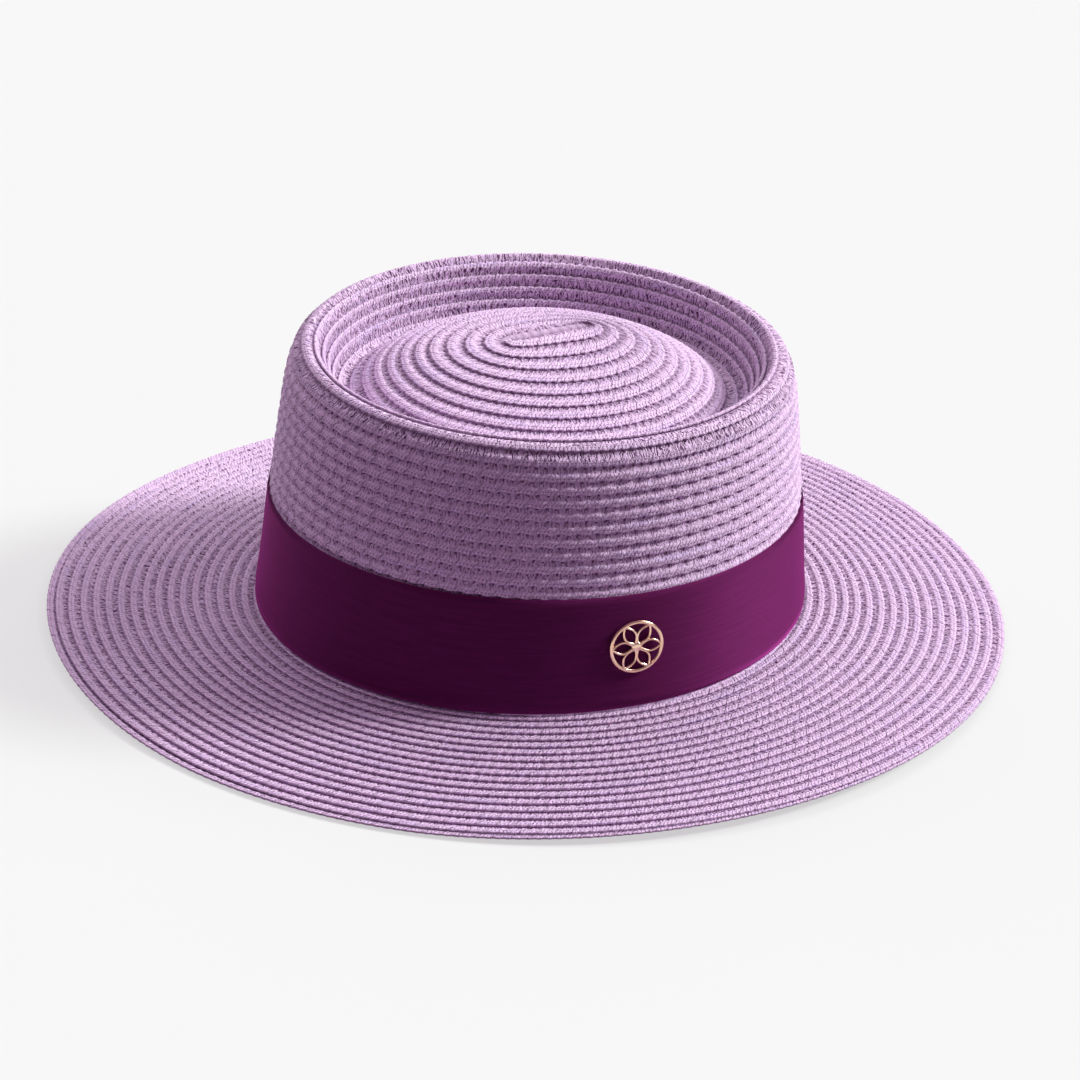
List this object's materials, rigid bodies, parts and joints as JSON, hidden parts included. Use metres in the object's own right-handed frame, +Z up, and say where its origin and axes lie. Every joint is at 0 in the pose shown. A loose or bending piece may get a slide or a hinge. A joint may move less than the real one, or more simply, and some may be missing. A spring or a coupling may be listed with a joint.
{
  "type": "straw boater hat",
  "caption": "Straw boater hat with a domed tip sunk in a raised rim, a wide oval brim, a plain ribbon band and a round openwork metal badge.",
  "frame": {"origin": "on the surface that the hat rests on, under the middle of its outline", "axes": "+Z up through the crown, Y along the hat's long axis with the wearer's front at -Y, +X towards the wearer's left side, where the badge is"},
  "size_m": [0.304, 0.354, 0.1097],
  "materials": {
    "straw": "paper-straw braid, matt with a slight sheen",
    "ribbon": "fine woven ribbon, soft sheen",
    "badge": "polished pale rose gold"
  },
  "bodies": {
    "root": {"crown": "straw", "brim": "straw", "ribbon_band": "ribbon", "badge": "badge"}
  },
  "joints": []
}
